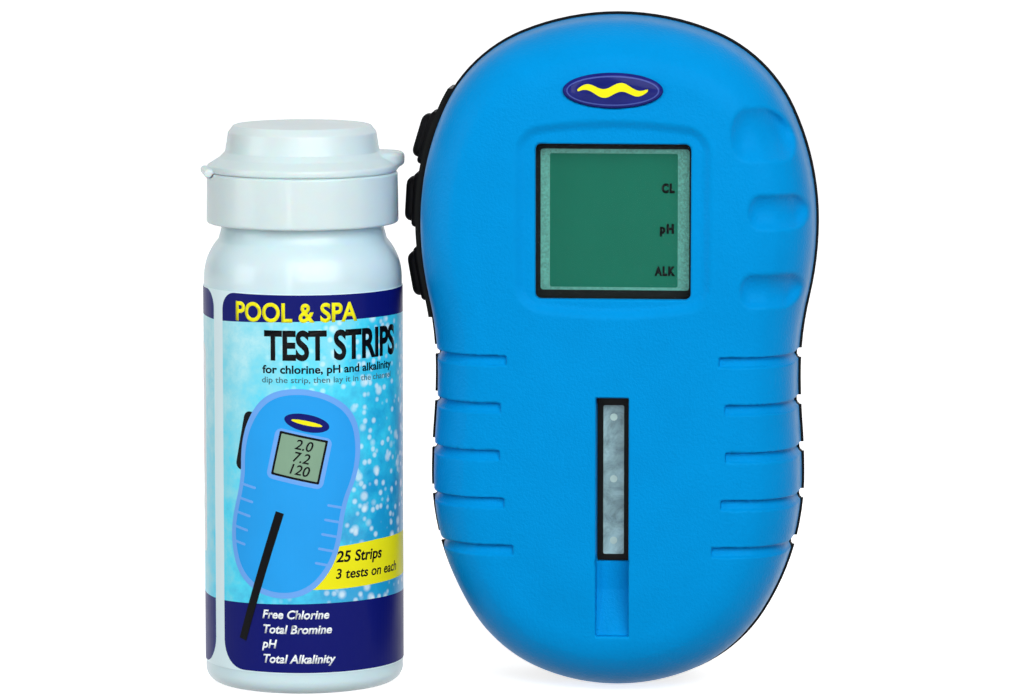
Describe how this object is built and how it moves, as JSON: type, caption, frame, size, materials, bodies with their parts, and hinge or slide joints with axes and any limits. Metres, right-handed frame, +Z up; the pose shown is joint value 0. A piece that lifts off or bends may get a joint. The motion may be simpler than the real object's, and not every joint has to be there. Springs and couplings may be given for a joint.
{
  "type": "water test kit",
  "caption": "Hand-held electronic test strip reader with display, strip channel and side keys, standing beside a flip-top vial of test strips.",
  "frame": {"origin": "centre of the kit's footprint, on the surface it stands on", "axes": "+Z up; the reader's face looks along -Y; the vial stands at -X, the reader at +X"},
  "size_m": [0.1117, 0.036, 0.1217],
  "materials": {
    "blue_shell": "fine satin texture",
    "black_shell": "fine matt texture",
    "black_trim": "satin",
    "seal_rubber": "matt",
    "key_rubber": "satin",
    "badge_enamel": "glossy dome",
    "clear_lens": "clear, glossy",
    "display_glass": "grey-green",
    "sensor_clear": "smoked, satin",
    "pale_plastic": "satin",
    "zebra_rubber": "striped",
    "lamp_resin": "clear resin",
    "sensor_black": "black resin",
    "board_green": "solder mask",
    "chip_black": "matt",
    "steel": "bright zinc",
    "flex_amber": "amber film",
    "tray_grey": "satin",
    "cell_jacket": "printed sleeve",
    "spring_nickel": "nickel",
    "silver_label": "printed film",
    "white_vial": "satin polyethylene",
    "white_cap": "satin polypropylene",
    "wrap_label": "printed film",
    "desiccant_white": "pressed, matt",
    "strip_film": "matt film",
    "pad_yellow": "paper pad",
    "pad_orange": "paper pad",
    "pad_green": "paper pad"
  },
  "bodies": {
    "vial": {"vial_bottle": "white_vial", "vial_label": "wrap_label", "closure_ring": "white_cap", "desiccant_disc": "desiccant_white", "strip_backings": "strip_film", "chlorine_pads": "pad_yellow", "ph_pads": "pad_orange", "alkalinity_pads": "pad_green"},
    "lid": {"flip_lid": "white_cap"},
    "reader": {"front_shell": "blue_shell", "rear_shell": "black_shell", "shell_seal": "seal_rubber", "badge": "badge_enamel", "display_lens": "clear_lens", "display_panel": "display_glass", "display_frame": "black_trim", "zebra_connectors": "zebra_rubber", "sensor_frame": "black_trim", "sensor_window": "sensor_clear", "light_baffle": "pale_plastic", "sensor_leds": "lamp_resin", "sensor_photodiodes": "sensor_black", "main_board": "board_green", "board_chips": "chip_black", "board_screws": "steel", "button_bezel": "black_trim", "switch_flex": "flex_amber", "tact_switches": "chip_black", "battery_tray": "tray_grey", "battery_cells": "cell_jacket", "battery_contacts": "spring_nickel", "rear_label": "silver_label", "housing_screws": "steel"},
    "button_upper": {"button_upper": "key_rubber"},
    "button_middle": {"button_middle": "key_rubber"},
    "button_lower": {"button_lower": "key_rubber"},
    "battery_door": {"battery_door": "black_shell"}
  },
  "joints": [
    {"name": "reader_lift", "type": "slide", "parent": "vial", "child": "reader", "axis": [0, 0, 1], "range_m": [0, 0.13]},
    {"name": "lid_hinge", "type": "hinge", "parent": "vial", "child": "lid", "pos_m": [-0.05424, -0.0036, 0.0928], "axis": [0.2079, -0.9781, 0], "range_deg": [0, 135]},
    {"name": "upper_key", "type": "slide", "parent": "reader", "child": "button_upper", "axis": [0.9578, 0, -0.2874], "range_m": [0, 0.0008], "stiffness_N_per_m": 1500, "springref_m": -0.0005},
    {"name": "middle_key", "type": "slide", "parent": "reader", "child": "button_middle", "axis": [0.9982, 0, -0.0593], "range_m": [0, 0.0008], "stiffness_N_per_m": 1500, "springref_m": -0.0005},
    {"name": "lower_key", "type": "slide", "parent": "reader", "child": "button_lower", "axis": [0.9851, 0, 0.1719], "range_m": [0, 0.0008], "stiffness_N_per_m": 1500, "springref_m": -0.0005},
    {"name": "battery_door_hinge", "type": "hinge", "parent": "reader", "child": "battery_door", "pos_m": [0.01968, 0.01515, 0.07362], "axis": [1, 0, 0], "range_deg": [0, 75]}
  ]
}
